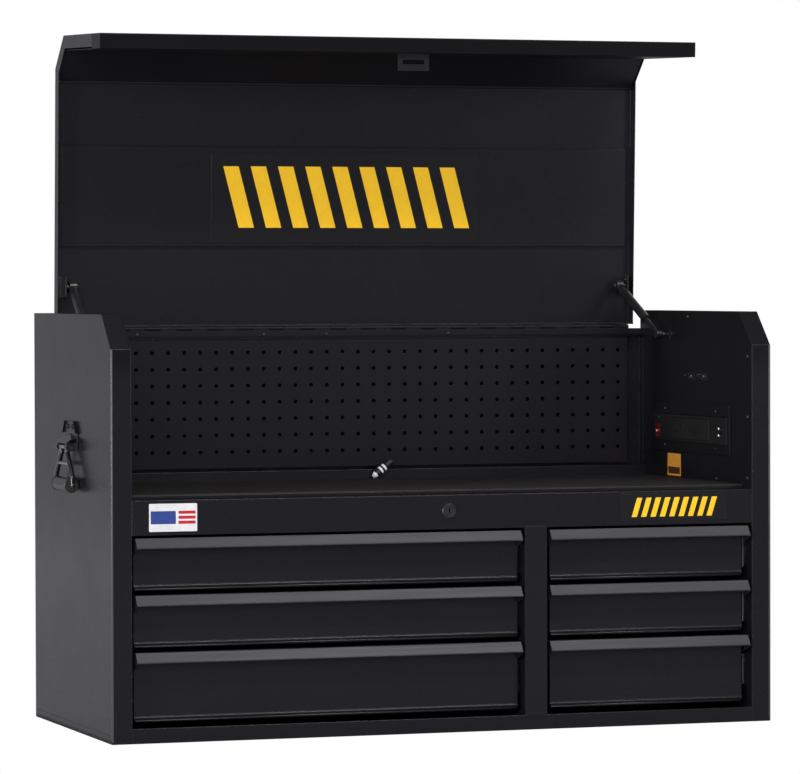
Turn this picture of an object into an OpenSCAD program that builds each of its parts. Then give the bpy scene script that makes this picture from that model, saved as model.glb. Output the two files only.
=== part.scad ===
// Tool chest with a lifting lid, a pegboard till and six drawers on ball-bearing slides.
// X runs to the right, Y to the back and Z up. The origin is the middle of the footprint.
// The lid stands open at rest, and its parts are drawn closed and turned about the hinge pin.

/* [Cabinet] */
// Width over both side walls
body_w = 1041.4; // [900:0.1:1200]
// Depth from the front frame to the back panel
body_d = 457.2; // [440:0.1:520]
// Height of the side walls
body_h = 626.6; // [600:0.1:680]
// Thickness of each double side wall
wall_t = 30.7; // [28:0.1:40]
// Slope cut off the top front corner, along each edge
slope = 50.8; // [30:0.1:60]
// Steel sheet
sheet = 1.2; // [0.9:0.1:1.5]
// Depth of the folded edges of rails and panels
fold = 15; // [10:0.5:20]
// Height of the base pan's edge
pan_h = 11.8; // [8:0.1:15]
// Depth of the post's foot in front of the base pan
foot_d = 8; // [5:0.5:12]
// Height of the bottom rail
rail_h = 22; // [18:0.5:28]
// Height of the header over the drawers
header_h = 51.3; // [46:0.1:60]
// Depth of the header's top flange
header_d = 38.6; // [36:0.1:44]
// Depth of the header's lower flange
header_low_d = 25; // [20:0.5:32]
// Left face of the divider, from the middle of the cabinet
divider_x = 120.2; // [0:0.1:160]
// Width of the divider
divider_w = 35.2; // [30:0.1:50]
// Distance of the divider's back from the rear face
divider_short = 30; // [20:0.5:60]
// Lap of the divider's face over header and bottom rail
divider_lap = 2.4; // [1:0.1:6]

/* [Drawers] */
// Height of each drawer front in the two upper rows
upper_row_h = 74; // [70:0.1:90]
// Height of each drawer front in the bottom row
lower_row_h = 99; // [90:0.1:110]
// Gap between rows
row_gap = 9.8; // [6:0.1:14]
// Gap above the top row
top_gap = 4; // [2:0.1:8]
// Gap below the bottom row
bottom_gap = 11.4; // [4:0.1:16]
// Set-back of the drawer faces behind the front frame
face_set = 15.6; // [10:0.1:20]
// Side gap of the faces in the left bank
face_gap_left = 6; // [3:0.1:9]
// Side gap of the faces in the right bank
face_gap_right = 10.4; // [4:0.1:12]
// Radius of the rolled hem under a face
hem_r = 2.6; // [1.6:0.1:3]
// Drawer sheet
drawer_sheet = 1; // [0.8:0.1:1.2]
// Depth of a drawer box behind its face
drawer_d = 400; // [370:1:410]
// Height that the box sides stay below the face
side_drop = 14; // [10:0.5:20]

/* [Pulls] */
// Side gap of the pulls
pull_gap = 5.4; // [3:0.1:8]
// Reach of the pull in front of the drawer face, at its top edge
pull_top = 13.7; // [12:0.1:16]
// Reach at the lip
pull_lip = 24.2; // [20:0.1:26]
// Height of the sloping band
pull_band = 14.5; // [10:0.1:18]
// Height of the pull's back flange
pull_flange = 15; // [12:0.1:18]
// Height of the pull's end caps
pull_h = 26; // [22:0.1:32]
// Thickness of the pull's wall
pull_t = 1.6; // [1.2:0.1:2]

/* [Slides] */
// Length of each slide member
slide_len = 385; // [340:1:388]
// Distance of the slides behind the drawer face
slide_start = 18; // [12:0.5:20]
// Width of a slide between wall and drawer
slide_w = 12.7; // [12.7:0.1:13.5]
// Height of a slide
slide_h = 45.6; // [44:0.1:50]
// Slide steel
slide_t = 1.2; // [1:0.1:1.3]
// Radius of the bearing balls
ball_r = 1.5; // [1.3:0.05:1.6]
// Running clearance of the balls
ball_clear = 0.05; // [0.02:0.01:0.1]
// Balls in each row
ball_count = 4; // [3:1:6]

/* [Till and pegboard] */
// Height of the till floor above the header's top edge
till_rise = 4.7; // [3:0.1:8]
// Gap behind the header's edge to the till tray
till_set = 32.6; // [30:0.1:34]
// Rim at the back of the till tray
till_rim = 16.5; // [12:0.1:20]
// Till mat without its ribs
mat_t = 1.4; // [1:0.1:2]
// Height of the mat's ribs
mat_rib = 0.6; // [0.3:0.1:1]
// Pitch of the mat's ribs
mat_pitch = 8; // [6:0.5:12]
// Depth of the space behind the pegboard
peg_depth = 22.4; // [18:0.1:28]
// Half width of the pegboard
peg_half_w = 458; // [400:0.5:470]
// Gap under the pegboard
peg_lift = 5.5; // [3:0.1:10]
// Pitch of the pegboard holes
peg_pitch = 26; // [25.4:0.1:38]
// Diameter of the pegboard holes
peg_hole_d = 6.4; // [5:0.1:7.2]
// Rise of the hole pattern over the pegboard's middle
peg_up = 1.3; // [0:0.1:4]
// Wall screws: distance behind the front frame
screw_in = 16; // [12:0.5:22]
// Upper wall screw below the end of the wall's slope
screw_down = 18; // [12:0.5:30]
// Gap between the two upper wall screws
screw_gap = 93; // [70:0.5:110]
// Screw near the wall's top edge, behind the front frame
top_screw_y = 254.3; // [200:0.1:280]
// Screw over the till floor, behind the front frame
low_screw_y = 138; // [100:0.5:180]
// Height of the hinge rail's face
hinge_rail_h = 12; // [10:0.1:16]
// Top of the hinge rail below the side walls
hinge_rail_drop = 29; // [26:0.1:31]

/* [Lid] */
// Gap between lid and side wall
lid_gap = 8.5; // [4:0.1:9]
// Set-back of the lid's front behind the front frame
lid_set = 5.1; // [3:0.1:8]
// Gap between the closed lid and the header
lid_lift = 1.7; // [1:0.1:4]
// Depth of the lid's side flanges
lid_flange = 20; // [14:0.1:20.2]
// Depth of the front box channel
channel_d = 23; // [18:0.1:24]
// Height of the front box channel
channel_h = 48; // [40:0.1:60]
// Angle at which the lid stands open
lid_open = 88; // [70:1:90]
// Half length of the stiffener
stiffener_half = 471; // [380:1:476]
// Front edge of the stiffener, from the cabinet's middle
stiffener_front = -54; // [-90:1:-20]
// Depth of the stiffener, front to back
stiffener_d = 157; // [100:1:160]
// Height of the stiffener
stiffener_h = 5; // [3:0.1:5.5]

/* [Hinge] */
// Outer radius of the hinge knuckles
knuckle_r = 3.4; // [3:0.05:4]
// Radius of the hinge pin
pin_r = 1.5; // [1.2:0.05:1.7]
// Running clearance between pin and knuckle
pin_clear = 0.06; // [0.03:0.01:0.1]
// Pitch of the knuckles
knuckle_pitch = 25.4; // [20:0.1:40]
// Number of knuckles, an odd number
knuckle_count = 37; // [21:2:37]
// Gap between neighbouring knuckles
knuckle_gap = 0.4; // [0.3:0.05:0.8]
// Thickness of the hinge leaves
leaf_t = 1.5; // [1.2:0.1:1.8]
// Height of the leaf on the cabinet
leaf_h = 26; // [18:0.5:30]
// Height of the axis above the hinge rail
axis_rise = 3; // [2.6:0.1:4]

/* [Gas struts] */
// Set-back of the strut's pin from the hinge axis, lid closed
strut_pin_back = 65.9; // [60:0.1:68]
// Height of the strut's pin above the hinge axis, lid closed
strut_pin_up = 9; // [7:0.1:10]
// Distance of the strut's pin from the side wall
strut_pin_in = 33; // [31:0.1:36]
// Radius of the strut's pins
strut_pin_r = 4; // [3:0.1:4.5]
// Wall stud ahead of the hinge axis
stud_ahead = 135; // [125:0.5:145]
// Wall stud below the hinge axis
stud_below = 11.6; // [9:0.1:20]
// Reach of the wall stud from the wall to its ball's face
stud_reach = 16; // [14:0.1:18]
// Radius of the stud's ball
stud_ball_r = 4; // [3:0.1:5]
// Radius of the strut's cylinder
tube_r = 7; // [6:0.1:7.5]
// Length of the strut's cylinder from its pin
tube_len = 112; // [100:1:118]
// Radius of the rod
rod_r = 4; // [3:0.1:4.5]
// Length of rod that stays inside the cylinder at rest
rod_in = 50; // [46:1:56]
// Radius of the rod's end fitting
rod_end_r = 6; // [5:0.1:7]
// Gap between the strut's middle and its bracket plate
bracket_gap = 11.5; // [10:0.1:13]
// Half length of the strut's bracket
bracket_half = 16; // [12:0.5:20]
// Bracket steel
bracket_t = 1.6; // [1.2:0.1:2]

/* [Lock] */
// Height of the lock's axis above the header's lower edge
lock_up = 27.5; // [24:0.1:30]
// Radius of the lock's face ring
lock_ring_r = 11.5; // [9:0.1:13]
// Radius of the turning cylinder
lock_plug_r = 6.2; // [5:0.1:7]
// Running clearance of the cylinder
lock_clear = 0.08; // [0.04:0.01:0.1]
// Distance of the hook's slot behind the lid's channel
hook_back = 10.5; // [10:0.1:14]
// Thickness of the hook
hook_t = 4.5; // [3:0.1:5]
// Height of the striker plate over the mat
striker_lift = 2.5; // [2:0.1:4]
// Striker plate thickness
striker_t = 1.5; // [1.2:0.1:2]
// Length of the slot in the striker plate
slot_len = 35; // [33:0.1:40]
// Width of the slot
slot_w = 7; // [6.5:0.1:9]

/* [Side handles] */
// Height of the handle's axis
handle_z = 427.5; // [300:0.5:480]
// Place of the handle, behind the cabinet's middle
handle_y = 0; // [-40:1:40]
// Axis distance from the side wall
handle_off = 11.5; // [11.5:0.1:14]
// Radius of the bail's rod
bail_r = 3.8; // [3:0.1:4]
// Running clearance of the bail in its eyes
bail_clear = 0.08; // [0.04:0.01:0.1]
// Half distance between the bail's arms at the axis
bail_top = 17.5; // [14:0.5:22]
// Half distance between the arms at the grip
bail_foot = 48.5; // [44:0.5:58]
// Drop from the axis to the grip
grip_drop = 56.5; // [52:0.5:70]
// Length of each arm's upright part under the axis
bail_neck = 9; // [9:0.5:12]
// Length of each arm's upright part over the grip
bail_rise = 12.5; // [12.5:0.5:16]
// Drop from the axis to the brace between the arms
brace_drop = 25; // [20:0.5:28]
// Radius of the brace
brace_r = 3; // [2:0.1:3.2]
// Length of the eyes
eye_len = 11; // [8:0.5:14]
// Steel round the bail in the eyes
eye_wall = 2.2; // [1.6:0.1:3]
// Radius of the grip
grip_r = 11.2; // [9:0.1:11.2]
// Thickness of the wall plate
plate_t = 2; // [1.5:0.1:3]
// Height of the wall plate's slanting rims
plate_rim = 5; // [3:0.1:7]
// Underside of the hood, over the axis
hood_low = 5; // [4.8:0.1:5.4]
// Half width of the wall plate across its shoulders
plate_half = 40; // [36:0.5:42]
// Half width of the wall plate's top edge
plate_crown = 26; // [24:0.5:30]
// Top edge of the wall plate over the axis
plate_top = 38.5; // [36:0.1:42]
// Shoulder of the wall plate over the axis
plate_shoulder = 20; // [18:0.1:24]
// Lower edge of the wall plate under the axis
plate_foot = 6.5; // [6:0.1:10]
// Reach of the hood past the axis
hood_over = 4.5; // [4:0.1:5]
// Half width of the hood
hood_half = 37; // [34:0.5:40]
// Half width of the hood's front edge
hood_lip = 28; // [26:0.5:30]
// Top of the hood on the plate
hood_top = 22; // [20:0.1:24]
// Half distance between the plate's bolts
bolt_half = 14; // [10:0.5:16]
// Height of the bolts over the axis
bolt_up = 30; // [28:0.1:32]

/* [Power strip] */
// Rear end of the strip, behind the cabinet's middle
strip_back = 152; // [120:1:160]
// Length of the strip
strip_len = 294; // [280:1:300]
// Height of the strip's face
strip_h = 42.3; // [38:0.1:50]
// Lower edge of the strip above the till mat
strip_up = 57.5; // [30:0.5:70]
// Depth of the strip inside the wall
strip_d = 24; // [18:0.5:26]
// Border of the cover round the strip's face
cover_border = 8; // [5:0.5:12]
// Front screws of the cover, from the strip's front end
cover_screw_front = 46; // [40:0.5:60]
// Rear screws of the cover, from the strip's rear end
cover_screw_back = 41; // [36:0.5:60]
// Lower screws of the cover, under the strip
cover_screw_low = 7; // [5:0.1:9]
// Upper screws of the cover, over the strip
cover_screw_high = 9; // [6:0.1:12]
// Lead clips above the strip
clip_up = 62; // [40:0.5:80]
// Rear clip, behind the cabinet's middle
clip_back = 2; // [-20:0.5:20]
// Gap between the two clips
clip_gap = 50; // [40:0.5:80]
// Outlets in the strip
outlets = 4; // [3:1:4]
// Pitch of the outlets
outlet_pitch = 38; // [36:0.5:38]

/* [Hidden] */
half_w = body_w / 2;
half_d = body_d / 2;
inner = half_w - wall_t;
front = -half_d;
fit = 0.4;
corner_gain = sqrt(2) - 1;

// Heights of the front frame
row_z2 = rail_h + bottom_gap;
row_z1 = row_z2 + lower_row_h + row_gap;
row_z0 = row_z1 + upper_row_h + row_gap;
row_z = [row_z0, row_z1, row_z2];
row_h = [upper_row_h, upper_row_h, lower_row_h];
header_z = row_z0 + upper_row_h + top_gap;
header_top = header_z + header_h;

// The two drawer banks, from opening edge to opening edge
bank_x = [-inner, divider_x + divider_w];
bank_w = [divider_x + inner, inner - divider_x - divider_w];
face_gap = [face_gap_left, face_gap_right];
face_y = front + face_set;

// Till
till_front = front + till_set;
tray_z = header_top + till_rise;
mat_z = tray_z + mat_t + mat_rib;
back_in = half_d - sheet;
peg_y = back_in - peg_depth;
rail_top = body_h - hinge_rail_drop;
rail_z = rail_top - hinge_rail_h;
peg_z = tray_z + till_rim + peg_lift;
peg_cols = floor((2 * peg_half_w - peg_pitch / 2) / peg_pitch) + 1;
peg_rows = floor((rail_z - peg_z - peg_pitch / 2) / peg_pitch);

// Rivets along the hinge rail
rail_rivets = [-361.7, -155.2, -52.4, 152.3];

// Lid, closed
hinge_y = half_d + knuckle_r;
hinge_z = rail_top + axis_rise;
lid_half = inner - lid_gap;
lid_front = front + lid_set;
lid_low = header_top + lid_lift;
lid_rear_low = hinge_z + knuckle_r + 1;
under_lid = body_h - sheet;

// Hinge
hinge_half = (knuckle_count * knuckle_pitch - knuckle_gap) / 2;

// Struts, on the right side
strut_x = inner - strut_pin_in;
strut_y = hinge_y - strut_pin_back;
strut_z = hinge_z + strut_pin_up;
strut_pin_y = hinge_y - strut_pin_back * cos(lid_open) + strut_pin_up * sin(lid_open);
strut_pin_z = hinge_z + strut_pin_back * sin(lid_open) + strut_pin_up * cos(lid_open);
stud_x = inner - stud_reach;
stud_y = hinge_y - stud_ahead;
stud_z = hinge_z - stud_below;
rod_end_half = 4.8;
rod_end_x = stud_x - fit - rod_end_half;
strut_run = [rod_end_x - strut_x, stud_y - strut_pin_y, stud_z - strut_pin_z];
strut_len = norm(strut_run);
strut_dir = strut_run / strut_len;

// Lock
lock_z = header_z + lock_up;
striker_z = mat_z + striker_lift;
hook_y = lid_front + channel_d + hook_back;
hook_mid = hook_y + slot_w / 2;
hook_in = (striker_z + striker_t + 0.8 - lock_z) / sin(100);
hook_out = hook_in + 6;

// Handles
eye_r = bail_r + eye_wall;
bend_r = bail_r + 0.35;
eye_y = bail_top + bend_r + fit;
axis_x = half_w + handle_off;
arm_spread = (bail_foot - bail_top) / (grip_drop - bail_rise - bail_neck);
brace_y = bail_top + (brace_drop - bail_neck) * arm_spread;

// Power strip
strip_z = mat_z + strip_up;
strip_y = strip_back - strip_len;
cover_t = 4;
strip_x = inner - cover_t - 2;
rocker_y = strip_back - 14;
rocker_z = strip_z + strip_h / 2 - 4.5;
usb_y = strip_y + 24;
outlet_y = strip_y + strip_len / 2 - 3;

cabinet_grey = [0.13, 0.13, 0.14];
trim_grey = [0.35, 0.35, 0.37];
bright = [0.75, 0.75, 0.77];
mat_brown = [0.17, 0.15, 0.14];
plastic_black = [0.07, 0.07, 0.07];

// A box between two corners
module block(low, high) {
  translate(low) cube(high - low);
}

// A profile in Y and Z, run along X
module along_x(x0, x1) {
  translate([x0, 0, 0]) rotate([90, 0, 90]) linear_extrude(x1 - x0) children();
}

// A profile in X and Z, run along Y
module along_y(y0, y1) {
  translate([0, y1, 0]) rotate([90, 0, 0]) linear_extrude(y1 - y0) children();
}

// A round bar along X
module bar_x(x0, x1, y, z, r, sides = 32) {
  translate([x0, y, z]) rotate([0, 90, 0]) cylinder(h = x1 - x0, r = r, $fn = sides);
}

// A round bar along Y
module bar_y(x, y0, y1, z, r, sides = 32) {
  translate([x, y1, z]) rotate([90, 0, 0]) cylinder(h = y1 - y0, r = r, $fn = sides);
}

// A round bar between two points
module bar_between(a, b, r, sides = 32) {
  run = b - a;
  turn = atan2(run[1], run[0]);
  lean = acos(run[2] / norm(run));
  translate(a) rotate([0, lean, turn]) cylinder(h = norm(run), r = r, $fn = sides);
}

// The same piece on the left and on the right
module both_sides() {
  children();
  mirror([1, 0, 0]) children();
}

// Turns a closed lid part to the open rest position
module lid_at_rest() {
  translate([0, hinge_y, hinge_z]) rotate([-lid_open, 0, 0])
    translate([0, -hinge_y, -hinge_z]) children();
}

// Side wall outline in Y and Z, drawn in by a distance
function wall_outline(in) = [
  [front + in, in],
  [front + foot_d - in, in],
  [front + foot_d - in, pan_h + in],
  [half_d - in, pan_h + in],
  [half_d - in, body_h - in],
  [front + slope + in * corner_gain, body_h - in],
  [front + in, body_h - slope - in * corner_gain]
];

// Outer shell of a side wall: a shallow pan, open towards the liner
module wall_shell() {
  difference() {
    along_x(-half_w, -inner - sheet) polygon(wall_outline(0));
    along_x(-half_w + sheet, -inner) polygon(wall_outline(sheet));
  }
}

module side_left() {
  color(cabinet_grey) wall_shell();
}

module side_right() {
  color(cabinet_grey) mirror([1, 0, 0]) wall_shell();
}

// Flat inner sheet of a side wall, standing on the base pan
module wall_liner() {
  along_x(-inner - sheet, -inner) polygon([
    [front, 0],
    [front + foot_d, 0],
    [front + foot_d, sheet],
    [half_d - sheet, sheet],
    [half_d - sheet, body_h],
    [front + slope, body_h],
    [front, body_h - slope]
  ]);
}

module liner_left() {
  color(cabinet_grey) wall_liner();
}

// The right liner has a window for the power strip
module liner_right() {
  color(cabinet_grey) difference() {
    mirror([1, 0, 0]) wall_liner();
    block([inner - 1, strip_y - fit, strip_z - fit],
          [inner + sheet + 1, strip_back + fit, strip_z + strip_h + fit]);
  }
}

// Back panel with folded edges against the liners
module back_panel() {
  color(cabinet_grey) {
    block([-inner - sheet, back_in, pan_h], [inner + sheet, half_d, rail_top]);
    for (s = [-1, 1])
      block([min(s * inner, s * (inner - sheet)), back_in - fold, pan_h],
            [max(s * inner, s * (inner - sheet)), back_in, rail_z]);
  }
}

// Base pan: floor, edge strip along both sides and the back, and a front upturn
module base_pan() {
  pan_y = front + foot_d;
  color(cabinet_grey) difference() {
    block([-half_w, pan_y, 0], [half_w, half_d, pan_h]);
    block([-half_w + sheet, pan_y + sheet, sheet], [half_w - sheet, half_d - sheet, pan_h + 1]);
    for (s = [-1, 1])
      translate([s * (half_w - wall_t / 2 - sheet / 2), pan_y, 0])
        block([-wall_t / 2 + sheet / 2, -1, sheet], [wall_t / 2 - sheet / 2, sheet + 1, pan_h + 1]);
  }
}

// A folded rail with its open side to the back
module folded_rail(z0, z1, top_d, low_d) {
  block([-inner, front, z0], [inner, front + sheet, z1]);
  block([-inner, front, z1 - sheet], [inner, front + top_d, z1]);
  block([-inner, front, z0], [inner, front + low_d, z0 + sheet]);
  for (s = [-1, 1])
    block([min(s * inner, s * (inner - sheet)), front, z0],
          [max(s * inner, s * (inner - sheet)), front + low_d, z1]);
}

module front_header() {
  color(cabinet_grey) difference() {
    folded_rail(header_z, header_top, header_d, header_low_d);
    bar_y(0, front - 1, front + sheet + 1, lock_z, lock_ring_r - 2, 40);
  }
}

module bottom_rail() {
  color(cabinet_grey) folded_rail(0, rail_h, foot_d, foot_d);
}

// Divider: two side sheets that carry slides, and a face lapped over header and rail
module center_divider() {
  x1 = divider_x + divider_w;
  divider_y = half_d - divider_short;
  color(cabinet_grey) {
    block([divider_x, front - sheet, rail_h - divider_lap], [x1, front, header_z + divider_lap]);
    block([divider_x, front, rail_h], [divider_x + sheet, divider_y, header_z]);
    block([x1 - sheet, front, rail_h], [x1, divider_y, header_z]);
    block([divider_x, front + foot_d + sheet, sheet], [divider_x + sheet, divider_y, rail_h]);
    block([x1 - sheet, front + foot_d + sheet, sheet], [x1, divider_y, rail_h]);
    block([divider_x, divider_y - sheet, sheet], [x1, divider_y, header_z]);
  }
}

// Hinge rail: a folded hat that closes against the back panel
module hinge_rail() {
  color(cabinet_grey) {
    block([-inner, peg_y, rail_z], [inner, peg_y + sheet, rail_top]);
    block([-inner, peg_y, rail_z], [inner, back_in, rail_z + sheet]);
    block([-inner, peg_y, rail_top - sheet], [inner, back_in, rail_top]);
  }
}

// Perforated panel with folded edges that stand it off the back panel
module pegboard() {
  mid_z = (peg_z + rail_z) / 2 + peg_up;
  color(cabinet_grey) {
    along_y(peg_y, peg_y + sheet) difference() {
      translate([-peg_half_w, peg_z]) square([2 * peg_half_w, rail_z - peg_z]);
      for (c = [0 : peg_cols - 1], r = [0 : peg_rows - 1])
        translate([(c - (peg_cols - 1) / 2) * peg_pitch, mid_z + (r - (peg_rows - 1) / 2) * peg_pitch])
          circle(d = peg_hole_d, $fn = 16);
    }
    for (s = [-1, 1])
      block([min(s * peg_half_w, s * (peg_half_w - sheet)), peg_y + sheet, peg_z],
            [max(s * peg_half_w, s * (peg_half_w - sheet)), back_in, rail_z]);
    block([-peg_half_w, peg_y + sheet, peg_z], [peg_half_w, peg_y + fold, peg_z + sheet]);
  }
}

// Slot in the till for the lock's hook
module till_slot() {
  block([2, hook_y - 2, tray_z - 2 * sheet], [hook_out - 5, hook_y + slot_w + 1, mat_z + 1]);
}

// Till tray: floor, a rim at the back, and a front fold down to the header
module till_tray() {
  color(cabinet_grey) difference() {
    union() {
      block([-inner, till_front, tray_z - sheet], [inner, peg_y, tray_z]);
      block([-inner, till_front, header_top], [inner, till_front + sheet, tray_z]);
      block([-inner, peg_y - sheet, tray_z], [inner, peg_y, tray_z + till_rim]);
    }
    till_slot();
  }
}

// Mat with ribs that run from front to back
module till_mat() {
  half = inner - fit;
  ribs = floor(2 * half / mat_pitch) - 1;
  color(mat_brown) difference() {
    along_y(till_front + fit, peg_y - sheet - fit) union() {
      translate([-half, tray_z]) square([2 * half, mat_t]);
      for (i = [0 : ribs])
        translate([(i - ribs / 2) * mat_pitch - mat_pitch / 4, tray_z])
          square([mat_pitch / 2, mat_t + mat_rib]);
    }
    till_slot();
  }
}

// Knuckles of one leaf: every second place, from a first place on
module knuckles(first) {
  for (i = [first : 2 : knuckle_count - 1]) {
    x0 = (i - knuckle_count / 2) * knuckle_pitch + knuckle_gap / 2;
    bar_x(x0, x0 + knuckle_pitch - knuckle_gap, hinge_y, hinge_z, knuckle_r, 24);
  }
}

// The flat part of a leaf reaches the axis only beside its own knuckles
module leaf_tabs(first, z0, z1) {
  for (i = [first : 2 : knuckle_count - 1]) {
    x0 = (i - knuckle_count / 2) * knuckle_pitch + knuckle_gap / 2;
    block([x0, half_d, z0], [x0 + knuckle_pitch - knuckle_gap, half_d + leaf_t, z1]);
  }
}

module leaf_bore() {
  bar_x(-hinge_half - 1, hinge_half + 1, hinge_y, hinge_z, pin_r + pin_clear, 24);
}

module hinge_leaf_fixed() {
  color(trim_grey) difference() {
    union() {
      knuckles(0);
      leaf_tabs(0, hinge_z - knuckle_r - 2, hinge_z);
      block([-hinge_half, half_d, hinge_z - leaf_h - knuckle_r],
            [hinge_half, half_d + leaf_t, hinge_z - knuckle_r - 1]);
    }
    leaf_bore();
  }
}

module lid_hinge_leaf() {
  color(trim_grey) lid_at_rest() difference() {
    union() {
      knuckles(1);
      leaf_tabs(1, hinge_z, hinge_z + knuckle_r + 2);
      block([-hinge_half, half_d, lid_rear_low], [hinge_half, half_d + leaf_t, body_h - 4]);
    }
    leaf_bore();
  }
}

// Hinge pin with a small head at each end
module hinge_pin() {
  color(bright) {
    bar_x(-hinge_half, hinge_half, hinge_y, hinge_z, pin_r, 24);
    for (s = [-1, 1])
      bar_x(min(s * hinge_half, s * (hinge_half + 1.2)), max(s * hinge_half, s * (hinge_half + 1.2)),
            hinge_y, hinge_z, pin_r + 0.7, 24);
  }
}

// Slide sections in X from the wall and Z from the slide's middle
mid_top = slide_h / 2 - slide_t - 2 * (ball_r + ball_clear);
inner_top = mid_top - slide_t - 2 * (ball_r + ball_clear);
mid_x = 2.6;
cage_t = 0.6;

function channel_section(x0, x1, top, t) = [
  [x0, -top],
  [x1, -top],
  [x1, -top + t],
  [x0 + t, -top + t],
  [x0 + t, top - t],
  [x1, top - t],
  [x1, top],
  [x0, top]
];

module slide_outer() {
  polygon(channel_section(0, 9.6, slide_h / 2, slide_t));
}

module slide_mid() {
  polygon(channel_section(mid_x, slide_w - 1.5, mid_top, slide_t));
}

// The drawer member opens towards the wall
module slide_inner() {
  translate([slide_w, 0]) mirror([1, 0]) polygon(channel_section(0, slide_w - 4.6, inner_top, slide_t));
}

// Balls in a flat cage, one row
module ball_row(x0, x1, z) {
  run = slide_len / ball_count;
  block([x0, slide_y0 + 8, z - cage_t / 2], [x1, slide_y0 + slide_len - 8, z + cage_t / 2]);
  for (i = [0 : ball_count - 1])
    translate([(x0 + x1) / 2, slide_y0 + (i + 0.5) * run, z]) sphere(r = ball_r, $fn = 16);
}

slide_y0 = face_y + slide_start;

// Puts a slide, drawn for a wall on its left, on both walls of a drawer's opening
module on_both_walls(bank, z) {
  translate([bank_x[bank], 0, z]) children();
  translate([bank_x[bank] + bank_w[bank], 0, z]) mirror([1, 0, 0]) children();
}

function slide_z(row) = row_z[row] + 2 + (row_h[row] - side_drop) / 2;

module cabinet_slides() {
  color(bright) for (bank = [0, 1], row = [0 : 2])
    on_both_walls(bank, slide_z(row))
      along_y(slide_y0, slide_y0 + slide_len) slide_outer();
}

module mid_slides(bank, row) {
  outer_row = mid_top + ball_r + ball_clear;
  inner_row = inner_top + ball_r + ball_clear;
  color(bright) on_both_walls(bank, slide_z(row)) {
    along_y(slide_y0, slide_y0 + slide_len) slide_mid();
    for (s = [-1, 1]) {
      ball_row(mid_x + slide_t, 9.4, s * outer_row);
      ball_row(5, slide_w - 2.2, s * inner_row);
    }
  }
}

// Drawer: sides and floor in one fold, a back, a face with a rolled hem, and its slide members
module drawer_box(bank, row) {
  x0 = bank_x[bank] + slide_w;
  x1 = bank_x[bank] + bank_w[bank] - slide_w;
  z0 = row_z[row] + 2;
  z1 = z0 + row_h[row] - side_drop;
  t = drawer_sheet;
  roll = 3;
  y0 = face_y + sheet;
  y1 = face_y + drawer_d;
  face_x0 = bank_x[bank] + face_gap[bank];
  face_x1 = bank_x[bank] + bank_w[bank] - face_gap[bank];
  color(cabinet_grey) {
    along_y(y0, y1) polygon([
      [x0, z0], [x1, z0], [x1, z1], [x1 - roll, z1], [x1 - roll, z1 - roll],
      [x1 - roll + t, z1 - roll], [x1 - roll + t, z1 - t], [x1 - t, z1 - t], [x1 - t, z0 + t],
      [x0 + t, z0 + t], [x0 + t, z1 - t], [x0 + roll - t, z1 - t], [x0 + roll - t, z1 - roll],
      [x0 + roll, z1 - roll], [x0 + roll, z1], [x0, z1]
    ]);
    block([x0 + t, y1 - t, z0 + t], [x1 - t, y1, z1 - roll - 1]);
    along_x(face_x0, face_x1) {
      translate([face_y, row_z[row] + hem_r]) square([sheet, row_h[row] - hem_r - pull_t]);
      translate([face_y + sheet / 2, row_z[row] + hem_r]) circle(r = hem_r, $fn = 24);
    }
  }
  color(bright) on_both_walls(bank, slide_z(row))
    along_y(slide_y0, slide_y0 + slide_len) slide_inner();
}

// Full-width pull: top plate, sloping band with a rounded lip, back flange and two end caps
module drawer_pull(bank, row) {
  x0 = bank_x[bank] + pull_gap;
  x1 = bank_x[bank] + bank_w[bank] - pull_gap;
  top = row_z[row] + row_h[row];
  y_edge = face_y - pull_top;
  y_lip = face_y - pull_lip;
  lip_r = pull_t * 0.7;
  cap = 2;
  color(trim_grey) {
    along_x(x0, x1) {
      polygon([
        [face_y + sheet, top - pull_t], [face_y + sheet, top], [y_edge, top],
        [y_lip, top - pull_band], [y_lip + lip_r, top - pull_band - lip_r],
        [y_edge + pull_t, top - pull_t], [face_y - pull_t, top - pull_t],
        [face_y - pull_t, top - pull_flange], [face_y, top - pull_flange], [face_y, top - pull_t]
      ]);
      translate([y_lip + lip_r, top - pull_band]) circle(r = lip_r, $fn = 24);
      translate([y_lip + lip_r, top - pull_band - lip_r]) square([4, lip_r]);
    }
    for (x = [x0, x1 - cap])
      along_x(x, x + cap) polygon([
        [face_y, top], [y_edge, top], [y_lip, top - pull_band],
        [y_lip + 4, top - pull_band - 3], [face_y, top - pull_h]
      ]);
  }
}

// Lid outline in Y and Z, closed, drawn in by a distance
function lid_outline(in) = [
  [half_d - in, lid_rear_low],
  [half_d - in, body_h - in],
  [lid_front + slope + in * corner_gain, body_h - in],
  [lid_front + in, body_h - slope - in * corner_gain],
  [lid_front + in, lid_low]
];

// The area between two lid outlines
function lid_ring(a, b) = concat(lid_outline(a), [for (i = [4 : -1 : 0]) lid_outline(b)[i]]);

module lid_shell() {
  color(cabinet_grey) lid_at_rest() {
    along_x(-lid_half, lid_half) polygon(lid_ring(0, sheet));
    for (x = [-lid_half, lid_half - sheet])
      along_x(x, x + sheet) difference() {
        polygon(lid_outline(0));
        polygon(concat([[half_d + 1, body_h - lid_flange]],
                       [for (i = [2, 3]) lid_outline(lid_flange)[i]],
                       [[lid_front + lid_flange, lid_low + channel_h], [lid_front - 1, lid_low + channel_h],
                        [lid_front - 1, lid_low - 1], [half_d + 1, lid_low - 1]]));
      }
  }
}

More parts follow.
